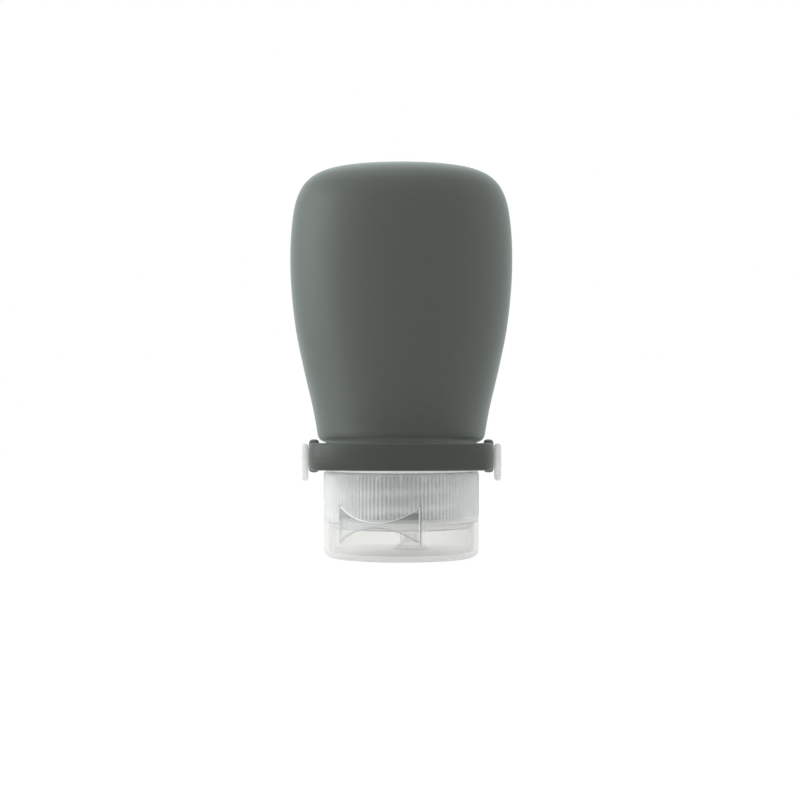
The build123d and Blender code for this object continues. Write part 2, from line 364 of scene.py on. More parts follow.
def startMaterial(name):
    material = bpy.data.materials.new(name)
    material.use_nodes = True
    nodes, links = material.node_tree.nodes, material.node_tree.links
    nodes.clear()
    place = nodes.new("ShaderNodeTexCoord").outputs["Object"]
    return material, nodes, links, place


def speckle(nodes, links, place, size, detail=3.0, roughness=0.5):
    # noise whose lumps are about size mm across
    noise = nodes.new("ShaderNodeTexNoise")
    noise.inputs["Scale"].default_value = 1 / (size * mm)
    noise.inputs["Detail"].default_value = detail
    noise.inputs["Roughness"].default_value = roughness
    links.new(place, noise.inputs["Vector"])
    return noise.outputs["Fac"]


def blendTones(nodes, links, factor, values, low, high):
    # the finish's darker tone up to low, and its paler one from high
    ramp = nodes.new("ShaderNodeValToRGB")
    stops = ramp.color_ramp.elements
    stops[0].position, stops[1].position = low, high
    stops[0].color, stops[1].color = values["tone"] + (1.0,), values["paleTone"] + (1.0,)
    links.new(factor, ramp.inputs["Fac"])
    return ramp.outputs["Color"]


def scaled(nodes, links, value, low, high, start=0.0):
    # a value between start and 1 spread over low to high
    spread = nodes.new("ShaderNodeMapRange")
    spread.inputs["From Min"].default_value = start
    spread.inputs["To Min"].default_value = low
    spread.inputs["To Max"].default_value = high
    links.new(value, spread.inputs["Value"])
    return spread.outputs["Result"]


def bumpFrom(nodes, links, height, depth, under=None):
    bump = nodes.new("ShaderNodeBump")
    bump.inputs["Strength"].default_value = 1.0
    bump.inputs["Distance"].default_value = depth * mm
    links.new(height, bump.inputs["Height"])
    if under:
        links.new(under, bump.inputs["Normal"])
    return bump.outputs["Normal"]


def wallNormal(nodes, links, place):
    # the outward direction of a round wall about Z, whatever its ribs do
    outward = nodes.new("ShaderNodeVectorMath")
    outward.operation = "MULTIPLY"
    outward.inputs[1].default_value = (1.0, 1.0, 0.0)
    links.new(place, outward.inputs[0])
    length = nodes.new("ShaderNodeVectorMath")
    length.operation = "NORMALIZE"
    links.new(outward.outputs[0], length.inputs[0])
    toWorld = nodes.new("ShaderNodeVectorTransform")
    toWorld.vector_type = "NORMAL"
    toWorld.convert_from, toWorld.convert_to = "OBJECT", "WORLD"
    links.new(length.outputs[0], toWorld.inputs[0])
    return toWorld.outputs[0]


def ribMilk(nodes, links, place, slant, values):
    # each rib is a little thicker, so milkier, than the groove beside it
    split = nodes.new("ShaderNodeSeparateXYZ")
    links.new(place, split.inputs[0])
    around = reckon(nodes, links, "ARCTAN2", split.outputs["Y"], split.outputs["X"])
    wave = reckon(nodes, links, "MULTIPLY", around, values["ribs"])
    crest = reckon(nodes, links, "COSINE", wave)
    extra = scaled(nodes, links, crest, *values["ribMilk"], start=-1.0)
    where = nodes.new("ShaderNodeValToRGB")
    stops = where.color_ramp.elements
    for position, share in values["ribShares"][1:-1]:
        stops.new(position)
    for stop, (position, share) in zip(stops, values["ribShares"]):
        stop.position = position
        stop.color = (share, share, share, 1.0)
    links.new(slant, where.inputs["Fac"])
    return reckon(nodes, links, "MULTIPLY", extra, where.outputs["Color"])


siliconeSheen = {"roughness": 0.45, "tint": (0.78, 0.95, 0.92, 1.0), "glossTint": (0.90, 1.0, 0.975, 1.0)}
plasticIor = 1.49


def siliconeFinish(name, values):
    # matt rubber: two tones of dust over a waved, grained skin
    material, nodes, links, place = startMaterial(name)
    grain = speckle(nodes, links, place, values["grain"], detail=4.0, roughness=0.6)
    waves = speckle(nodes, links, place, values["waves"], detail=2.0)
    dust = speckle(nodes, links, place, values["waves"] / 4, detail=5.0, roughness=0.65)
    skin = nodes.new("ShaderNodeBsdfPrincipled")
    tone = blendTones(nodes, links, dust, values, low=0.3, high=0.75)
    links.new(tone, skin.inputs["Base Color"])
    links.new(scaled(nodes, links, dust, *values["roughness"]), skin.inputs["Roughness"])
    soft = bumpFrom(nodes, links, waves, values["waveDepth"])
    fine = bumpFrom(nodes, links, grain, values["grainDepth"], soft)
    links.new(fine, skin.inputs["Normal"])
    skin.inputs["Specular IOR Level"].default_value = values["specular"]
    skin.inputs["Specular Tint"].default_value = siliconeSheen["glossTint"]
    skin.inputs["Sheen Weight"].default_value = values["sheen"]
    skin.inputs["Sheen Roughness"].default_value = siliconeSheen["roughness"]
    skin.inputs["Sheen Tint"].default_value = siliconeSheen["tint"]
    output = nodes.new("ShaderNodeOutputMaterial")
    links.new(skin.outputs[0], output.inputs["Surface"])
    return material


def plasticFinish(name, values):
    # see-through plastic: a milky skin over clear, thicker where the wall is seen at a slant
    material, nodes, links, place = startMaterial(name)
    haze = speckle(nodes, links, place, values["haze"])
    grain = speckle(nodes, links, place, values["grain"], roughness=0.6)
    skin = nodes.new("ShaderNodeBsdfPrincipled")
    tone = blendTones(nodes, links, haze, values, low=0.3, high=0.7)
    links.new(tone, skin.inputs["Base Color"])
    links.new(scaled(nodes, links, haze, *values["roughness"]), skin.inputs["Roughness"])
    skin.inputs["IOR"].default_value = plasticIor
    normal = bumpFrom(nodes, links, grain, values["grainDepth"])
    links.new(normal, skin.inputs["Normal"])
    through = nodes.new("ShaderNodeBsdfTranslucent")
    links.new(tone, through.inputs["Color"])
    milk = nodes.new("ShaderNodeMixShader")
    milk.inputs["Fac"].default_value = values["glow"]
    links.new(skin.outputs[0], milk.inputs[1])
    links.new(through.outputs[0], milk.inputs[2])
    clear = nodes.new("ShaderNodeBsdfTransparent")
    clear.inputs["Color"].default_value = values["clearTone"] + (1.0,)
    slant = nodes.new("ShaderNodeLayerWeight")
    slant.inputs["Blend"].default_value = values["slant"]
    amount = scaled(nodes, links, slant.outputs["Facing"], *values["milk"])
    if "ribs" in values:
        links.new(wallNormal(nodes, links, place), slant.inputs["Normal"])
        extra = ribMilk(nodes, links, place, slant.outputs["Facing"], values)
        amount = reckon(nodes, links, "ADD", amount, extra, clamp=True)
    else:
        links.new(normal, slant.inputs["Normal"])
    mix = nodes.new("ShaderNodeMixShader")
    links.new(amount, mix.inputs["Fac"])
    links.new(clear.outputs[0], mix.inputs[1])
    links.new(milk.outputs[0], mix.inputs[2])
    output = nodes.new("ShaderNodeOutputMaterial")
    links.new(mix.outputs[0], output.inputs["Surface"])
    return material


bodySilicone = siliconeFinish("bodySilicone", {
    "tone": (0.033, 0.035, 0.025), "paleTone": (0.038, 0.040, 0.030), "roughness": (0.5, 0.6),
    "grain": 0.22, "grainDepth": 0.012, "waves": 9.0, "waveDepth": 0.1, "specular": 0.76, "sheen": 0.50,
})
strapSilicone = siliconeFinish("strapSilicone", {
    "tone": (0.022, 0.0235, 0.015), "paleTone": (0.026, 0.027, 0.019), "roughness": (0.42, 0.52),
    "grain": 0.2, "grainDepth": 0.01, "waves": 6.0, "waveDepth": 0.05, "specular": 0.55, "sheen": 0.24,
})
valveSilicone = plasticFinish("valveSilicone", {
    "tone": (0.78, 0.79, 0.77), "paleTone": (0.84, 0.85, 0.83), "clearTone": (0.97, 0.98, 0.98),
    "roughness": (0.35, 0.45), "haze": 1.2, "grain": 0.15, "grainDepth": 0.008, "glow": 0.4,
    "slant": 0.4, "milk": (0.7, 0.9),
})
frostedWhite = plasticFinish("frostedWhite", {
    "tone": (0.90, 0.92, 0.92), "paleTone": (0.94, 0.95, 0.95), "clearTone": (0.98, 0.99, 0.99),
    "roughness": (0.38, 0.5), "haze": 3.0, "grain": 0.16, "grainDepth": 0.008, "glow": 0.3,
    "slant": 0.4, "milk": (0.62, 0.90),
})
# painted shade: a darker, bluish, mostly clear copy of the ring's white plastic, for the ring tube seen
# through the cap
paintedShadeRing = plasticFinish("paintedShadeRing", {
    "tone": (0.76, 0.83, 0.86), "paleTone": (0.80, 0.87, 0.89), "clearTone": (0.995, 0.995, 0.99),
    "roughness": (0.3, 0.4), "haze": 3.0, "grain": 0.2, "grainDepth": 0.006, "glow": 0.4,
    "slant": 0.35, "milk": (0.12, 0.5),
})
# painted light: a paler, opaque copy of the white plastic, which makes the neck's thread, the sleeve's webs
# and the collar's low flange read pale
paintedLightWhite = plasticFinish("paintedLightWhite", {
    "tone": (0.96, 0.97, 0.97), "paleTone": (0.98, 0.985, 0.985), "clearTone": (0.995, 0.995, 0.99),
    "roughness": (0.25, 0.35), "haze": 3.0, "grain": 0.2, "grainDepth": 0.006, "glow": 0.0,
    "slant": 0.35, "milk": (0.85, 1.0),
})
milk = {
    "tone": (0.91, 0.93, 0.925), "paleTone": (0.94, 0.955, 0.95), "clearTone": (0.998, 0.997, 0.994),
    "roughness": (0.2, 0.32), "haze": 3.5, "grain": 0.25, "grainDepth": 0.006, "glow": 0.15,
    "slant": 0.35, "milk": (0.14, 0.6),
}
milkyPlastic = plasticFinish("milkyPlastic", milk)
densePlastic = plasticFinish("densePlastic", {
    **milk, "tone": (0.77, 0.785, 0.78), "paleTone": (0.81, 0.82, 0.815), "milk": (0.5, 0.78),
})
# painted light: a paler copy that lets more light through, for the deck, which lies in the shade of the neck
# above it
paintedLightDeck = plasticFinish("paintedLightDeck", {
    **milk, "tone": (0.95, 0.96, 0.955), "paleTone": (0.97, 0.98, 0.975), "glow": 0.85, "milk": (0.6, 0.9),
})
ribbedPlastic = plasticFinish("ribbedPlastic", {
    **milk, "tone": (0.79, 0.81, 0.805), "paleTone": (0.83, 0.845, 0.84),
    "slant": 0.85, "milk": (0.43, 0.76), "ribs": ribCount, "ribMilk": (-0.16, 0.22),
    # share of the ribs' milk, by how slanted the wall is seen
    "ribShares": ((0.0, 0.15), (0.03, 0.3), (0.15, 0.9), (0.5, 0.8), (0.8, 0.0)),
})
clear = {
    "tone": (0.82, 0.825, 0.81), "paleTone": (0.86, 0.865, 0.85), "clearTone": (0.988, 0.987, 0.98),
    "roughness": (0.3, 0.4), "haze": 4.0, "grain": 0.3, "grainDepth": 0.005, "glow": 0.15,
    "slant": 0.35, "milk": (0.12, 0.48),
}
clearPlastic = plasticFinish("clearPlastic", clear)
spoutPlastic = plasticFinish("spoutPlastic", {
    **clear, "tone": (0.90, 0.905, 0.89), "paleTone": (0.93, 0.935, 0.92), "milk": (0.06, 0.32),
})
webPlastic = plasticFinish("webPlastic", {
    "tone": (0.88, 0.90, 0.90), "paleTone": (0.92, 0.93, 0.93), "clearTone": (0.999, 0.999, 0.999),
    "roughness": (0.08, 0.15), "haze": 4.0, "grain": 0.3, "grainDepth": 0.004, "glow": 0.45,
    "slant": 0.35, "milk": (0.12, 0.5),
})
# the bead's opaque white is a painted highlight along the hinge window's edges, and its grey-blue clear copy
# below is a painted shade line
bead = {
    "tone": (0.95, 0.96, 0.96), "paleTone": (0.97, 0.98, 0.98), "clearTone": (0.98, 0.98, 0.98),
    "roughness": (0.1, 0.2), "haze": 1.0, "grain": 0.3, "grainDepth": 0.004, "glow": 0.2,
    "slant": 0.35, "milk": (0.85, 1.0),
}
beadPaintedHighlight = plasticFinish("beadPaintedHighlight", bead)
beadPaintedShade = plasticFinish("beadPaintedShade", {**bead, "clearTone": (0.60, 0.66, 0.69), "milk": (0.35, 0.7)})
# painted shade: a darker, bluish copy of the milky plastic, as a shade line along the spigot's lower edge
spigotPaintedShade = plasticFinish("spigotPaintedShade", {
    **milk, "tone": (0.50, 0.56, 0.60), "paleTone": (0.56, 0.62, 0.66), "milk": (0.5, 0.8),
})
# painted shade: a dark copy of the bead's plastic on the web's cut edge at the slit
slitPaintedShade = plasticFinish("slitPaintedShade", {
    **bead, "tone": (0.30, 0.33, 0.34), "paleTone": (0.36, 0.39, 0.40), "milk": (0.8, 0.95),
})
print("materials ready")


# Squeeze body: one skin from the far end down to the shoulder, round the lip and up the inside


bodyShape = {
    "width": 50.2, "depth": 36.8, "wall": 1.9, "shoulderRadius": 1.6, "shoulderRings": 6,
    "shoulderGap": 0.05, "shoulderRun": 2.0, "ringGap": 0.4, "leastHalfWidth": 0.06, "leastHalfDepth": 0.05,
    "neckRadius": 12.7, "boreRadius": 11.0, "lipRadius": 13.9, "lipTop": 10.05, "edgeRadius": 0.2,
    "columns": 128, "ringsPerSection": 5,
    # share of the height, of the width and of the depth
    "sections": [
        (0.000, 0.741, 0.962), (0.115, 0.792, 0.968), (0.257, 0.875, 0.981), (0.402, 0.949, 0.994),
        (0.544, 0.989, 1.000), (0.659, 1.000, 1.000), (0.762, 0.989, 0.990), (0.849, 0.958, 0.957),
        (0.905, 0.905, 0.893), (0.944, 0.825, 0.796), (0.971, 0.706, 0.658), (0.988, 0.535, 0.480),
        (0.9955, 0.335, 0.290), (0.9985, 0.175, 0.146), (1.000, 0.020, 0.017),
    ],
}


def smoothRun(rows, steps):
    # a smooth curve through the rows, with as many steps between each pair
    points = [Vector(row) for row in rows]
    points = [points[0] * 2 - points[1]] + points + [points[-1] * 2 - points[-2]]
    run = []
    for index in range(1, len(points) - 2):
        p0, p1, p2, p3 = points[index - 1:index + 3]
        d0, d1, d2 = ((b - a).length ** 0.5 + 1e-9 for a, b in ((p0, p1), (p1, p2), (p2, p3)))
        m1 = (p2 - p1) + (p1 - p0) * (d1 / d0) - (p2 - p0) * (d1 / (d0 + d1))
        m2 = (p2 - p1) + (p3 - p2) * (d1 / d2) - (p3 - p1) * (d1 / (d1 + d2))
        for step in range(steps):
            t = step / steps
            run.append(
                p1 * (2 * t**3 - 3 * t**2 + 1) + m1 * (t**3 - 2 * t**2 + t)
                + p2 * (3 * t**2 - 2 * t**3) + m2 * (t**3 - t**2)
            )
    run.append(points[-2])
    return run


def bodyRings(inset):
    # rings of (half width, half depth, height), from the shoulder to the far end
    low, high = collarTop + bodyShape["shoulderGap"] + inset, bodyTop - inset
    rings = []
    for height, width, depth in smoothRun(bodyShape["sections"], bodyShape["ringsPerSection"]):
        halfWidth = max(width * bodyShape["width"] / 2 - inset, bodyShape["leastHalfWidth"])
        halfDepth = max(depth * bodyShape["depth"] / 2 - inset, bodyShape["leastHalfDepth"])
        rings.append((halfWidth, halfDepth, low + height * (high - low)))
    return rings


def outerRings():
    # the outer rings, with the shoulder's edge rounded
    radius, steps = bodyShape["shoulderRadius"], bodyShape["shoulderRings"]
    rings = bodyRings(0)
    base = rings[0]
    slope = (rings[2][0] - base[0]) / (rings[2][2] - base[2])
    edge = []
    for step in range(steps + 1):
        angle = math.pi / 2 * step / steps
        up = radius * (1 - math.cos(angle))
        inward = radius * (1 - math.sin(angle)) - slope * up
        edge.append((base[0] - inward, base[1] - inward, base[2] + up))
    return edge + [ring for ring in rings if ring[2] > base[2] + radius + bodyShape["ringGap"]]


def neckRings():
    # from the inside of the shoulder's edge, down the neck, round the lip and up the bore
    neck, bore, lip = bodyShape["neckRadius"], bodyShape["boreRadius"], bodyShape["lipRadius"]
    shoulder, edge = collarTop + bodyShape["shoulderGap"], bodyShape["edgeRadius"]
    inside, run = shoulder + bodyShape["wall"], bodyShape["shoulderRun"]
    corners = [
        (neck + run, shoulder, 0), (neck, shoulder, edge), (neck, bodyShape["lipTop"], edge / 2),
        (lip, bodyShape["lipTop"], edge), (lip, mouthHeight, edge), (bore, mouthHeight, edge),
        (bore, inside, edge * 2), (bore + run, inside, 0),
    ]
    return [(point.x, point.x, point.z) for point in rounded(corners, arcSteps=4)]


def ringStack(name, rings, columns):
    # a circle extruded ring by ring, each ring stretched to its own width and depth
    clearSelection()
    width, depth, height = rings[0]
    bpy.ops.mesh.primitive_circle_add(vertices=columns, radius=width * mm, location=(0, 0, height * mm))
    piece = bpy.context.object
    piece.name = piece.data.name = name
    settle(piece)
    editAll(piece)
    bpy.ops.transform.resize(value=(1, depth / width, 1), center_override=(0, 0, 0))
    for near, far in zip(rings, rings[1:]):
        bpy.ops.mesh.extrude_edges_move(TRANSFORM_OT_translate={"value": (0, 0, (far[2] - near[2]) * mm)})
        bpy.ops.transform.resize(value=(far[0] / near[0], far[1] / near[1], 1), center_override=(0, 0, 0))
    bpy.ops.mesh.select_all(action="SELECT")
    closeEnds()
    pick(piece)
    return piece


def makeBody():
    outside = outerRings()
    inside = bodyRings(bodyShape["wall"])
    body = ringStack("squeezeSkin", outside[::-1] + neckRings() + inside, bodyShape["columns"])
    smooth(body, angle=50)
    return body


squeezeSkin = makeBody()
print("body ready")


# Neck ring: threaded tube, collar with a flange, and a boss at each side


ringShape = {
    "bore": 12.75, "root": 13.55, "bottom": 10.1, "collarBottom": 19.45, "waist": 15.2, "flange": 17.2,
    "lowFlange": 17.15, "lowFlangeTop": 20.3,
    "flangeThickness": 0.8, "bossRadius": 2.6, "bossReach": 18.4, "bossRoot": 1.0, "bossHeight": 22.75,
    "bossEdge": 0.3, "pinHole": 1.35, "pinHoleLength": 5.5, "columns": 160,
}
threadShape = {
    "pitch": 3.7, "turns": 1.85, "start": 11.05, "startAngle": 235.0, "crest": 14.08, "root": 13.5,
    "base": 1.9, "land": 1.35, "stepsPerTurn": 96, "runOutSteps": 6, "endShare": 0.02,
}


def makeRing():
    v = ringShape
    flangeBottom = collarTop - v["flangeThickness"]
    ring = turned("threadedRing", [
        (v["bore"], v["bottom"], 0.1), (v["root"], v["bottom"], 0.15),
        (v["root"], v["collarBottom"], 0.2), (v["lowFlange"], v["collarBottom"], 0.2),
        (v["lowFlange"], v["lowFlangeTop"], 0.2), (v["waist"], v["lowFlangeTop"], 0.25),
        (v["waist"], flangeBottom, 0.25), (v["flange"], flangeBottom, 0.2),
        (v["flange"], collarTop, 0.25), (v["bore"], collarTop, 0.1),
    ], v["columns"], arcSteps=4)
    for side in (-1, 1):
        bossStart = v["waist"] - v["bossRoot"]
        middle = side * (v["bossReach"] + bossStart) / 2
        boss = bar("boss", v["bossRadius"], (middle, 0, v["bossHeight"]), v["bossReach"] - bossStart, "X")
        softEdges(boss, v["bossEdge"])
        cut(ring, boss, "UNION")
        place = (side * v["bossReach"], 0, v["bossHeight"])
        cut(ring, bar("pinHole", v["pinHole"], place, v["pinHoleLength"], "X", sides=32))
    smooth(ring)
    return ring


threadedRing = makeRing()


def helix(name, shape):
    # a thread's ridge: its section screwed round Z, with both ends drawn down into the wall
    clearSelection()
    half, land = shape["base"] / 2, shape["land"] / 2
    section = [(shape["root"], -half), (shape["crest"], -land), (shape["crest"], land), (shape["root"], half)]
    ridge = drawOutline(name, [Vector((across, 0, up)) for across, up in section])
    pick(ridge)
    screw = ridge.modifiers.new("screw", "SCREW")
    screw.axis = "Z"
    screw.angle = math.tau * shape["turns"]
    screw.screw_offset = shape["pitch"] * shape["turns"] * mm
    screw.steps = screw.render_steps = round(shape["stepsPerTurn"] * shape["turns"])
    screw.use_merge_vertices = False
    applyAll(ridge)
    return ridge


def taperEnds(ridge, shape):
    # the last steps at each end run down into the wall; the section has four points
    perRing = 4
    last = len(ridge.data.vertices) // perRing - 1
    root, runOut = shape["root"] * mm, shape["runOutSteps"]
    for index, point in enumerate(ridge.data.vertices):
        step = index // perRing
        share = min(1, step / runOut, (last - step) / runOut)
        across = fromAxis(point.co)
        target = root + (across - root) * max(share, shape["endShare"])
        point.co.x *= target / across
        point.co.y *= target / across


def makeThread(name, shape):
    ridge = helix(name, shape)
    editAll(ridge)
    bpy.ops.transform.translate(value=(0, 0, shape["start"] * mm))
    bpy.ops.transform.rotate(
        value=-math.radians(shape["startAngle"]), orient_axis="Z", center_override=(0, 0, 0)
    )
    pick(ridge)
    taperEnds(ridge, shape)
    editAll(ridge)
    bpy.ops.mesh.select_non_manifold()
    closeEnds()
    pick(ridge)
    smooth(ridge, angle=30)
    return ridge


neckThread = makeThread("neckThread", threadShape)
print("ring ready")


# Strap studs: an oblong plate outside each ear, on a pin through the ear


studShape = {
    "plateFace": 21.05, "plateThickness": 1.5, "plateWidth": 5.0, "plateHeight": 8.4, "plateMiddle": 21.35,
    "plateEdge": 0.6, "pinRadius": 1.3, "pinEdge": 0.25, "pinTip": 15.7, "pinHeight": 22.75,
}


def makeStud(name, side):
    v = studShape
    clearSelection()
    radius = v["plateWidth"] / 2
    bpy.ops.mesh.primitive_circle_add(
        vertices=64, radius=radius * mm, fill_type="NGON",
        location=(side * v["plateFace"] * mm, 0, v["plateMiddle"] * mm), rotation=(0, math.pi / 2, 0),
    )
    stud = bpy.context.object
    stud.name = stud.data.name = name
    settle(stud)
    editAll(stud)
    stretch = v["plateHeight"] / 2 - radius
    for way in (-1, 1):
        selectPoints(stud, lambda place: (place.z - v["plateMiddle"]) * way > radius / 100)
        bpy.ops.transform.translate(value=(0, 0, way * stretch * mm))
    bpy.ops.mesh.select_all(action="SELECT")
    bpy.ops.mesh.extrude_region_move(
        TRANSFORM_OT_translate={"value": (side * v["plateThickness"] * mm, 0, 0)}
    )
    faceOutward()
    pick(stud)
    softEdges(stud, v["plateEdge"], segments=5, angle=60)
    pinEnd = v["plateFace"] + v["plateThickness"] / 2
    middle = (side * (v["pinTip"] + pinEnd) / 2, 0, v["pinHeight"])
    pin = bar("pin", v["pinRadius"], middle, pinEnd - v["pinTip"], "X", sides=48)
    softEdges(pin, v["pinEdge"])
    cut(stud, pin, "UNION")
    smooth(stud)
    return stud


studLeft = makeStud("studLeft", -1)
studRight = makeStud("studRight", 1)
print("studs ready")


# Carry strap: a crowned band with a round ear at each end


strapShape = {
    "inner": 18.6, "thickness": 1.15, "crown": 0.35, "width": 5.9, "edge": 0.5, "reach": 29.2,
    "frontRadius": 26.6, "cornerRadius": 5.6, "earRadius": 3.75, "earThickness": 2.25, "tilt": 1.3,
    "pivot": 22.75, "hole": 1.35, "holeLength": 8.0, "grooveHeight": 2.5, "grooveDepth": 0.34,
    "grooveReach": 6.0, "grooveEdge": 0.15, "earEdge": 0.75, "crownEdge": 1.5, "crownSideShare": 0.75,
    "crownTopShare": 0.98, "legSteps": 6, "cornerSteps": 14, "frontSteps": 40,
    "voxel": 0.17, "relaxShare": 0.5, "relaxPasses": 6,
}


def drawLeg(length):
    # the selected end of the band, drawn straight along Y
    steps = strapShape["legSteps"]
    for _ in range(steps):
        bpy.ops.mesh.extrude_edges_move(TRANSFORM_OT_translate={"value": (0, length * mm / steps, 0)})


def makeBand():
    v = strapShape
    half, inner = v["width"] / 2, -v["inner"]
    outer = inner - v["thickness"]
    crownSide = outer - v["crown"] * v["crownSideShare"]
    crownTop = outer - v["crown"] * v["crownTopShare"]
    corners = [
        (inner, -half, v["edge"]), (inner, half, v["edge"]), (outer, half, v["edge"]),
        (crownSide, half / 2, v["crownEdge"]), (crownTop, 0, v["crownEdge"]),
        (crownSide, -half / 2, v["crownEdge"]), (outer, -half, v["edge"]),
    ]
    band = drawOutline("carryLoop", rounded(corners, arcSteps=4))
    cornerX = v["inner"] - v["cornerRadius"]
    drop = math.sqrt((v["frontRadius"] - v["cornerRadius"]) ** 2 - cornerX**2)
    archY = v["frontRadius"] - v["reach"]
    cornerY = archY - drop
    cornerAngle = math.atan2(drop, cornerX)
    drawLeg(cornerY)
    turns = (
        ((-cornerX, cornerY), cornerAngle, v["cornerSteps"]),
        ((0, archY), math.pi - 2 * cornerAngle, v["frontSteps"]),
        ((cornerX, cornerY), cornerAngle, v["cornerSteps"]),
    )
    for (x, y), angle, steps in turns:
        bpy.ops.mesh.spin(steps=steps, angle=-angle, center=(x * mm, y * mm, 0), axis=(0, 0, 1))
    drawLeg(-cornerY)
    mergeTouching()
    closeEnds()
    pick(band)
    return band


def makeStrap():
    v = strapShape
    strap = makeBand()
    parts = [strap]
    for side in (-1, 1):
        middle = side * (v["inner"] + v["earThickness"] / 2)
        ear = bar("ear", v["earRadius"], (middle, 0, 0), v["earThickness"], "X", sides=96)
        softEdges(ear, v["earEdge"], segments=5)
        parts.append(ear)
    pick(strap)
    for part in parts:
        part.select_set(True)
    bpy.ops.object.join()
    remesh = strap.modifiers.new("oneSkin", "REMESH")
    remesh.mode = "VOXEL"
    remesh.voxel_size = v["voxel"] * mm
    relax = strap.modifiers.new("relax", "SMOOTH")
    relax.factor = v["relaxShare"]
    relax.iterations = v["relaxPasses"]
    applyAll(strap)
    for side in (-1, 1):
        face = side * (v["inner"] + v["earThickness"])
        hole = bar("hole", v["hole"], (side * v["inner"], 0, 0), v["holeLength"], "X", sides=48)
        cut(strap, hole)
        near, far = sorted((face - side * v["grooveDepth"], face + side))
        groove = block(
            "groove", (near, -v["grooveReach"], -v["grooveHeight"] / 2),
            (far, v["grooveReach"], v["grooveHeight"] / 2),
        )
        softEdges(groove, v["grooveEdge"], segments=2)
        cut(strap, groove)
    editAll(strap)
    bpy.ops.transform.rotate(
        value=math.radians(v["tilt"]), orient_axis="X", center_override=(0, 0, 0)
    )
    bpy.ops.transform.translate(value=(0, 0, v["pivot"] * mm))
    pick(strap)
    smooth(strap, angle=40)
    return strap


carryLoop = makeStrap()
print("strap ready")


# Screw cap: ribbed skirt, sleeve, deck and spigot in one turned wall, with the hinge's window cut out


capShape = {
    "bottom": 8.2, "skirtInner": 16.2, "sleeveInner": 14.25, "sleeveOuter": 15.25, "sleeveTop": 18.9,
    "gapFloor": 9.6, "deckTop": 8.35, "deckBottom": 7.15, "spigotOuter": 16.3, "spigotInner": 15.3,
    "spigotBottom": 6.75, "topEdge": 0.55, "columnsPerRib": 4, "ribHeight": 0.07, "ribRoot": 0.17,
    "ribLow": 9.35, "ribHigh": 18.75, "ribRunOut": 0.2, "skirtSkin": 0.3, "scoopRadius": 4.6,
    "scoopDrop": 2.1, "scoopFloor": 16.6, "scoopLength": 4.0, "outletRadius": 1.6, "outletLength": 4.0,
}
hingeShape = {
    "halfWidth": 9.2, "waist": 0.67, "end": 4.05, "outer": 17.2, "inner": 16.6, "slit": 0.35,
    "foldGap": 0.04, "windowInner": 15.725, "columns": 72, "rows": 28, "rimWidth": 0.22, "rimHeight": 0.16,
    "rimRoot": 0.1, "patchHalfHeight": 4.4, "patchSweep": 76.0,
    # the tools that cut it
    "toolFront": -19.5, "toolBack": -10.0, "toolHalfHeight": 4.6, "hollowMiddle": -15.0,
    "toolLength": 14.0, "toolSides": 256,
}


def bowTie(name, sideGrowth, arcGrowth):
    # a block with a round hollow above and below, which leaves a bow tie seen from the front
    v = hingeShape
    rise = v["end"] - v["waist"]
    arc = (v["halfWidth"] ** 2 + rise**2) / (2 * rise)
    halfWidth = v["halfWidth"] + sideGrowth
    tie = block(
        name, (-halfWidth, v["toolFront"], partingHeight - v["toolHalfHeight"]),
        (halfWidth, v["toolBack"], partingHeight + v["toolHalfHeight"]),
    )
    for way in (-1, 1):
        height = partingHeight + way * (v["waist"] + arc)
        place = (0, v["hollowMiddle"], height)
        hollow = bar("hollow", arc - arcGrowth, place, v["toolLength"], "Y", v["toolSides"])
        cut(tie, hollow)
    return tie


def hingeWindow():
    # the tool for the window that the web fills, in the cap and in the lid
    v = hingeShape
    window = bowTie("window", v["slit"], v["foldGap"])
    core = bar("core", v["windowInner"], (0, 0, partingHeight), v["toolLength"], "Z", v["toolSides"])
    cut(window, core)
    turnClockwise(window, hingeTurn)
    return window


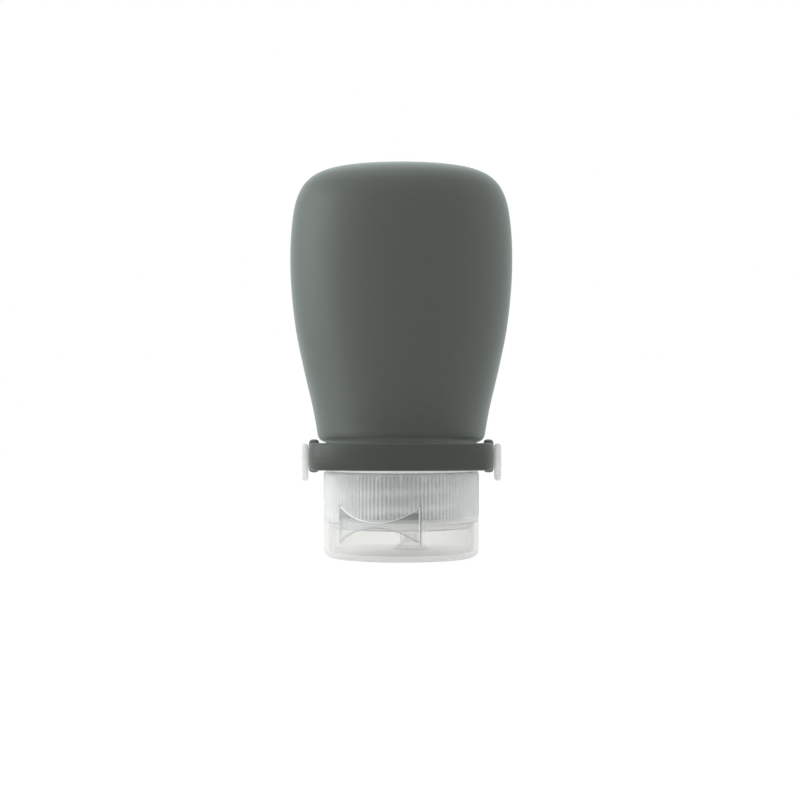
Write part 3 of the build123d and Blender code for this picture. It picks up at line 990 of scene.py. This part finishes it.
def makeCap():
    v = capShape
    runOut = v["ribRunOut"]
    cap = turned("screwCapShell", [
        (0, v["deckTop"], 0), (v["sleeveInner"], v["deckTop"], 0.25),
        (v["sleeveInner"], v["sleeveTop"], 0.2), (v["sleeveOuter"], v["sleeveTop"], 0.2),
        (v["sleeveOuter"], v["gapFloor"], 0.2), (v["skirtInner"], v["gapFloor"], 0.2),
        (v["skirtInner"], capTop, 0.25), (lidRadius, capTop, v["topEdge"]),
        (lidRadius, v["ribHigh"], 0), (lidRadius, v["ribHigh"] - runOut, 0),
        (lidRadius, v["ribLow"] + runOut, 0), (lidRadius, v["ribLow"], 0),
        (lidRadius, v["bottom"], 0.12), (v["spigotOuter"], v["bottom"], 0.12),
        (v["spigotOuter"], v["spigotBottom"], 0.25), (v["spigotInner"], v["spigotBottom"], 0.2),
        (v["spigotInner"], v["deckBottom"], 0.2), (0, v["deckBottom"], 0),
    ], ribCount * v["columnsPerRib"], arcSteps=4)
    editAll(cap)
    step = math.tau / (ribCount * v["columnsPerRib"])
    # crest, flank, groove and flank of each rib
    offsets = (v["ribHeight"], -v["ribRoot"] / 2, -v["ribRoot"], -v["ribRoot"] / 2)
    for phase, offset in enumerate(offsets):
        selectPoints(cap, lambda place: (
            v["ribLow"] + runOut / 2 < place.z < v["ribHigh"] - runOut / 2
            and fromAxis(place) > lidRadius - v["skirtSkin"]
            and round(math.atan2(place.y, place.x) / step) % v["columnsPerRib"] == phase
        ))
        grow = (lidRadius + offset) / lidRadius
        bpy.ops.transform.resize(value=(grow, grow, 1), center_override=(0, 0, 0))
    pick(cap)
    cut(cap, hingeWindow())
    scoopPlace = (0, v["scoopFloor"] + v["scoopLength"] / 2, v["bottom"] - v["scoopDrop"])
    scoop = bar("scoop", v["scoopRadius"], scoopPlace, v["scoopLength"], "Y", sides=96)
    turnClockwise(scoop, hingeTurn)
    cut(cap, scoop)
    outlet = bar("outlet", v["outletRadius"], spoutPlace + (v["deckTop"],), v["outletLength"], "Z")
    cut(cap, outlet)
    smooth(cap, angle=30)
    return cap


screwCapShell = makeCap()
print("cap ready")


gussetShape = {
    "count": 20, "width": 0.8, "inner": 15.2, "outer": 16.25, "bottom": 17.8, "top": 19.2,
    "slope": 0.1, "edge": 0.06, "cornerReach": 0.1,
}


def makeGussets():
    # one web with a sloping top, then copies of it round the gap
    v = gussetShape
    half = v["width"] / 2
    first = block("gusset", (v["inner"], -half, v["bottom"]), (v["outer"], half, v["top"]))
    editAll(first)
    low, near = v["top"] - v["cornerReach"], v["outer"] - v["cornerReach"]
    selectPoints(first, lambda place: place.z > low and place.x > near)
    bpy.ops.transform.translate(value=(0, 0, -v["slope"] * mm))
    pick(first)
    softEdges(first, v["edge"], segments=1)
    webs = [first]
    for number in range(1, v["count"]):
        web = first.copy()
        web.data = first.data.copy()
        bpy.context.collection.objects.link(web)
        turnClockwise(web, math.tau * number / v["count"])
        webs.append(web)
    pick(first)
    for web in webs:
        web.select_set(True)
    bpy.ops.object.join()
    first.name = first.data.name = "sleeveWebs"
    turnClockwise(first, hingeTurn)
    return first


sleeveWebs = makeGussets()

# the sleeve's thread is the neck's, half a pitch on
sleeveThreadShape = {
    **threadShape, "turns": 1.4, "start": threadShape["start"] + threadShape["pitch"] / 2,
    "crest": 13.62, "root": 14.3, "base": 1.5, "land": 0.7,
}
sleeveThread = makeThread("sleeveThread", sleeveThreadShape)


spoutShape = {
    "radius": 2.5, "bore": 1.6, "tipRadius": 0.4, "root": 7.2, "flare": 0.5, "columns": 72,
    "seatInner": 2.35, "seatWall": 0.7, "seatBottom": 8.3, "seatTop": 9.45, "seatFlare": 0.3,
    "seatColumns": 64,
}


def makeSpout():
    v = spoutShape
    nozzle = turned("pourSpout", [
        (v["bore"], v["root"], 0), (v["bore"], spoutTip, 0.3), (v["radius"], spoutTip, v["tipRadius"]),
        (v["radius"], v["root"] - v["flare"], 0.4), (v["radius"] + v["flare"], v["root"], 0),
    ], v["columns"], arcSteps=5, place=spoutPlace)
    smooth(nozzle)
    seatOuter = v["seatInner"] + v["seatWall"]
    seat = turned("valveSeat", [
        (v["seatInner"], v["seatBottom"], 0), (v["seatInner"], v["seatTop"], 0.2),
        (seatOuter, v["seatTop"], 0.2), (seatOuter, v["seatBottom"] + v["seatFlare"], 0.25),
        (seatOuter + v["seatFlare"], v["seatBottom"], 0),
    ], v["seatColumns"], arcSteps=4, place=spoutPlace)
    smooth(seat)
    return nozzle, seat


pourSpout, valveSeat = makeSpout()
print("spout ready")


# Snap hinge: a thin curved bow tie between the cap and the lid


def curvedPatch(name, inner, outer):
    # part of a tube in front of the hinge, in many rows up its height
    v = hingeShape
    low, high, rows = partingHeight - v["patchHalfHeight"], partingHeight + v["patchHalfHeight"], v["rows"]
    outline = [Vector((outer, 0, low + (high - low) * row / rows)) for row in range(rows + 1)]
    outline += [Vector((inner, 0, high - (high - low) * row / rows)) for row in range(rows + 1)]
    patch = drawOutline(name, outline)
    sweep = math.radians(v["patchSweep"])
    bpy.ops.mesh.spin(steps=v["columns"], angle=sweep, center=(0, 0, 0), axis=(0, 0, 1))
    mergeTouching()
    closeEnds()
    bpy.ops.transform.rotate(value=math.pi / 2 - sweep / 2, orient_axis="Z", center_override=(0, 0, 0))
    pick(patch)
    return patch


def makeWeb():
    v = hingeShape
    web = curvedPatch("hingeWeb", v["inner"], v["outer"])
    cut(web, bowTie("tie", 0, 0), "INTERSECT")
    rim = curvedPatch("hingeRim", v["outer"] - v["rimRoot"], v["outer"] + v["rimHeight"])
    cut(rim, bowTie("tie", 0, 0), "INTERSECT")
    # the middle is taken out to one side, so the bead runs along both arcs and the right end
    middle = bowTie("tie", 0, -v["rimWidth"])
    middle.location.x = -v["rimWidth"] * mm
    cut(rim, middle)
    for piece in (web, rim):
        turnClockwise(piece, hingeTurn)
        smooth(piece, angle=30)
    return web, rim


hingeWeb, hingeRim = makeWeb()
print("hinge ready")


# Gasket, with two grooves in its upper face, and valve, a dished disc with crossed slits


gasketShape = {
    "inner": 10.45, "outer": 14.15, "edge": 0.15, "grooves": (13.0, 11.6), "grooveHalf": 0.3,
    "grooveDepth": 0.12, "columns": 128,
}
valveShape = {
    "radius": 2.3, "edge": 0.1, "rim": 0.6, "rampFoot": 0.9, "rampDepth": 0.15, "dishDepth": 0.3,
    "slitLength": 2.6, "slitWidth": 0.12, "columns": 64,
}


def makeGasket():
    v = gasketShape
    low, high = (corner.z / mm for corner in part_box("mouth_gasket"))
    corners = [(v["inner"], low, v["edge"]), (v["outer"], low, v["edge"]), (v["outer"], high, v["edge"])]
    for middle in v["grooves"]:
        corners += [
            (middle + v["grooveHalf"], high, 0), (middle, high - v["grooveDepth"], 0),
            (middle - v["grooveHalf"], high, 0),
        ]
    corners.append((v["inner"], high, v["edge"]))
    gasket = turned("mouthSeal", corners, v["columns"], arcSteps=3)
    smooth(gasket)
    return gasket


def makeValve():
    v = valveShape
    low, high = (corner.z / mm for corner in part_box("flow_valve"))
    radius, edge = v["radius"], v["edge"]
    valve = turned("slitValve", [
        (0, low, 0), (radius, low, edge), (radius, high, edge), (radius - v["rim"], high, edge),
        (radius - v["rampFoot"], high - v["rampDepth"], edge), (0, high - v["dishDepth"], 0),
    ], v["columns"], arcSteps=3, place=spoutPlace)
    for length, width in ((v["slitLength"], v["slitWidth"]), (v["slitWidth"], v["slitLength"])):
        slit = block(
            "slit", (spoutPlace[0] - length / 2, spoutPlace[1] - width / 2, low - 1),
            (spoutPlace[0] + length / 2, spoutPlace[1] + width / 2, high + 1),
        )
        cut(valve, slit)
    smooth(valve)
    return valve


mouthSeal = makeGasket()
slitValve = makeValve()
print("gasket and valve ready")


# Flip lid: a shallow cup, and the plug on a flared foot that shuts the spout


lidShape = {
    "wall": 1.1, "floor": 1.3, "edge": 1.8, "innerEdge": 0.8, "rimEdge": 0.12, "columns": 288,
    "plugRadius": 1.2, "plugTop": 4.6, "footTop": 2.7, "footNeck": 2.5, "footRadius": 4.6,
    "footRoot": 0.1, "footFlare": 1.3, "footRise": 0.35, "plugColumns": 72,
}


def makeLid():
    v = lidShape
    inner = lidRadius - v["wall"]
    lid = turned("flipLidCup", [
        (0, 0, 0), (lidRadius, 0, v["edge"]), (lidRadius, lidTop, v["rimEdge"]),
        (inner, lidTop, v["rimEdge"]), (inner, v["floor"], v["innerEdge"]), (0, v["floor"], 0),
    ], v["columns"], arcSteps=8)
    cut(lid, hingeWindow())
    smooth(lid, angle=30)
    root = v["floor"] - v["footRoot"]
    plug = turned("spoutPlug", [
        (0, root, 0), (v["footRadius"], root, 0),
        (v["footRadius"] - v["footFlare"], v["floor"] + v["footRise"], 0.8),
        (v["footNeck"], v["footTop"], 0.25), (v["plugRadius"], v["footTop"], 0.15),
        (v["plugRadius"], v["plugTop"], 0.35), (0, v["plugTop"], 0),
    ], v["plugColumns"], arcSteps=5, place=spoutPlace)
    smooth(plug)
    return lid, plug


flipLidCup, spoutPlug = makeLid()
print("lid ready")


# Dressing: each piece gets its finish, its body, and the node that it stands for


dressing = (
    (squeezeSkin, bodySilicone, "bottle", "squeeze_body", "body_silicone"),
    (threadedRing, paintedShadeRing, "bottle", "neck_ring", "white_plastic"),
    (neckThread, paintedLightWhite, "bottle", "neck_ring", "white_plastic"),
    (studLeft, frostedWhite, "bottle", "strap_stud_left", "white_plastic"),
    (studRight, frostedWhite, "bottle", "strap_stud_right", "white_plastic"),
    (carryLoop, strapSilicone, "strap", "carry_strap", "strap_silicone"),
    (screwCapShell, milkyPlastic, "cap", "screw_cap", "milky_plastic"),
    (sleeveWebs, paintedLightWhite, "cap", "screw_cap", "milky_plastic"),
    (sleeveThread, milkyPlastic, "cap", "screw_cap", "milky_plastic"),
    (pourSpout, spoutPlastic, "cap", "screw_cap", "milky_plastic"),
    (valveSeat, milkyPlastic, "cap", "screw_cap", "milky_plastic"),
    (hingeWeb, webPlastic, None, "snap_hinge", "clear_plastic"),
    (hingeRim, beadPaintedHighlight, None, "snap_hinge", "clear_plastic"),
    (mouthSeal, valveSilicone, "seal", "mouth_gasket", "valve_silicone"),
    (slitValve, valveSilicone, "cap", "flow_valve", "valve_silicone"),
    (flipLidCup, clearPlastic, "lid", "flip_lid", "clear_plastic"),
    (spoutPlug, spoutPlastic, "lid", "flip_lid", "clear_plastic"),
)
# how far, in mm, each finish ends from the edge or step that it follows
finishEnds = {"bead": 0.4, "skirt": 0.25, "collar": 0.05, "lowFlange": 0.5, "deck": 0.1, "spigot": 0.25}
squareOn = 0.9
slitDirection = Vector((math.cos(hingeTurn), -math.sin(hingeTurn), 0))
slitSide = hingeShape["halfWidth"] - finishEnds["bead"]
skirtSide = lidRadius - finishEnds["skirt"]


def finishFaces(piece, finish, wanted):
    # faces that pass the test, and have no finish of their own yet, get this one; places are in mm
    piece.data.materials.append(finish)
    slotNumber = len(piece.data.materials) - 1
    for face in piece.data.polygons:
        if face.material_index == 0 and wanted(face.center / mm, face.normal):
            face.material_index = slotNumber


for piece, finish, body, node, slotName in dressing:
    settle(piece)
    piece.data.materials.clear()
    piece.data.materials.append(finish)
    if body:
        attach(piece, body)
    else:
        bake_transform(piece)
    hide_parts(node)
    print(piece.name, len(piece.data.polygons), "faces")
# the bead is a painted shade line over the lid and a painted highlight elsewhere, and the web's cut edge at
# the slit gets painted shade
finishFaces(hingeRim, beadPaintedShade, lambda place, facing: (
    place.z < partingHeight and place.dot(slitDirection) < slitSide
))
finishFaces(hingeWeb, slitPaintedShade, lambda place, facing: facing.dot(slitDirection) > squareOn)
# the collar is frosted, and its low flange gets the thread's paler white as painted light
finishFaces(threadedRing, frostedWhite, lambda place, facing: (
    place.z > ringShape["lowFlangeTop"] + finishEnds["collar"]
))
finishFaces(threadedRing, paintedLightWhite, lambda place, facing: (
    place.z > ringShape["collarBottom"] - finishEnds["lowFlange"]
))
# the ribs, the plain bands above and below them, the deck with painted light, and the spigot's lower edge
# with painted shade
finishFaces(screwCapShell, ribbedPlastic, lambda place, facing: (
    capShape["ribLow"] < place.z < capShape["ribHigh"] and fromAxis(place) > skirtSide
))
finishFaces(screwCapShell, densePlastic, lambda place, facing: fromAxis(place) > skirtSide)
finishFaces(screwCapShell, paintedLightDeck, lambda place, facing: (
    place.z < capShape["deckTop"] + finishEnds["deck"] and fromAxis(place) < capShape["spigotInner"]
))
finishFaces(screwCapShell, spigotPaintedShade, lambda place, facing: (
    place.z < capShape["spigotBottom"] + finishEnds["spigot"]
))
clearSelection()

print("dressed")
